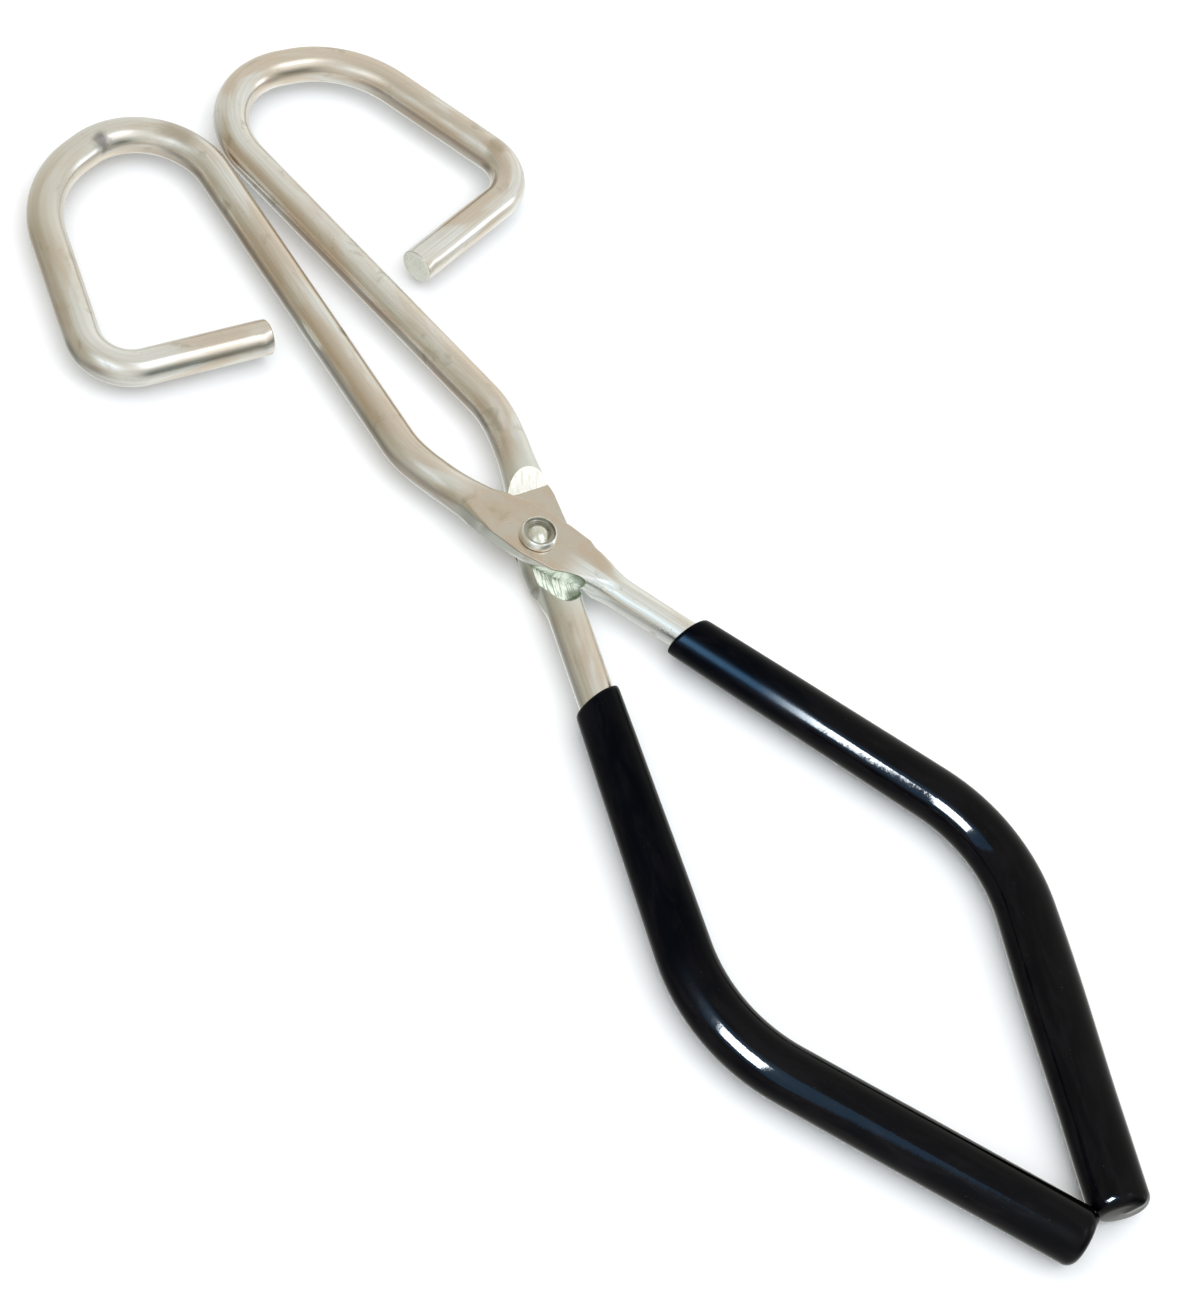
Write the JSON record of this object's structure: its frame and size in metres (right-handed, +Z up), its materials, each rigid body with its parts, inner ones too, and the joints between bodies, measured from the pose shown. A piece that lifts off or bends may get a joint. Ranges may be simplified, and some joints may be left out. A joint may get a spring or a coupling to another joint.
{
  "type": "scissor tongs",
  "caption": "Riveted scissor tongs of bent round steel rod, with open D-shaped jaw loops and black dipped grips on bowed handles.",
  "frame": {"origin": "on the surface that the closed tongs lie on, under the middle of their box; the rivet's axis is 16.2 mm towards the jaws and 1.4 mm to the side of the upper arm's jaw", "axes": "+X along the tongs from the grips to the jaws, +Y to the side that the upper arm's jaw is on, +Z up along the rivet"},
  "size_m": [0.2268, 0.0842, 0.0089],
  "materials": {
    "plated_steel": "bright plated steel rod with fine drawing marks",
    "rivet_steel": "bright plated, set head with a ring-shaped tool mark",
    "dipped_vinyl": "glossy dipped vinyl"
  },
  "bodies": {
    "lower_half": {"lower_arm": "plated_steel", "pivot_rivet": "rivet_steel", "lower_grip": "dipped_vinyl"},
    "upper_half": {"upper_arm": "plated_steel", "upper_grip": "dipped_vinyl"}
  },
  "joints": [
    {"name": "arm_pivot", "type": "hinge", "parent": "lower_half", "child": "upper_half", "pos_m": [0.01624, 0.0014, 0.00445], "axis": [0, 0, 1], "range_deg": [0, 60]}
  ]
}
